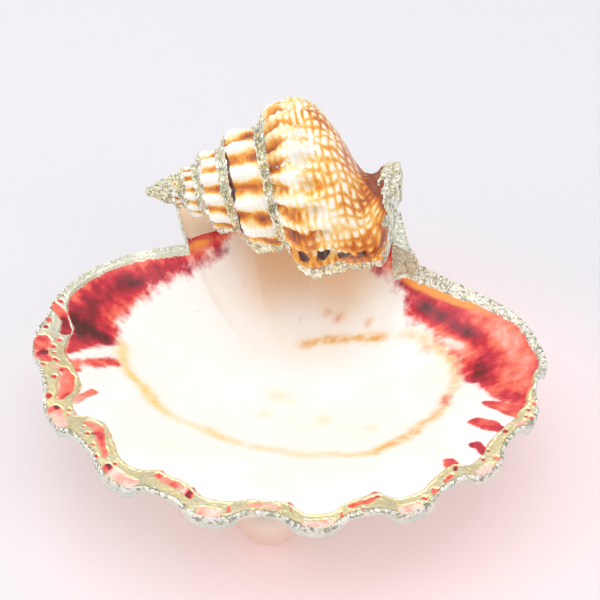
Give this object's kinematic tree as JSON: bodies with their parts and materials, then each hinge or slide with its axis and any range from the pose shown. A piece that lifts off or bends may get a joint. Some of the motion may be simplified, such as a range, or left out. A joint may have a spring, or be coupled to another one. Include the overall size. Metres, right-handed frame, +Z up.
{
  "type": "shell trinket dish",
  "caption": "Scallop valve dish standing hollow side up on pearl bead feet, with a sea snail shell along its hinge and gilded edges, for holding small jewellery.",
  "frame": {"origin": "on the surface that the dish stands on, under the middle of its bounding box", "axes": "+Z up, +X along the hinge towards the snail shell's canal, +Y from the front margin towards the hinge"},
  "size_m": [0.1312, 0.1278, 0.0686],
  "materials": {
    "scallop_shell": "polished white, red and orange shell under clear varnish, with a gilded lattice along the margin",
    "snail_shell": "orange-brown and white knobbed shell under clear varnish, gilded along the sutures and the lip",
    "pearl": "pale pink pearl lustre"
  },
  "bodies": {
    "root": {"scallop_valve": "scallop_shell", "snail_shell": "snail_shell", "pearl_foot_front": "pearl", "pearl_foot_back_left": "pearl", "pearl_foot_back_right": "pearl"}
  },
  "joints": []
}
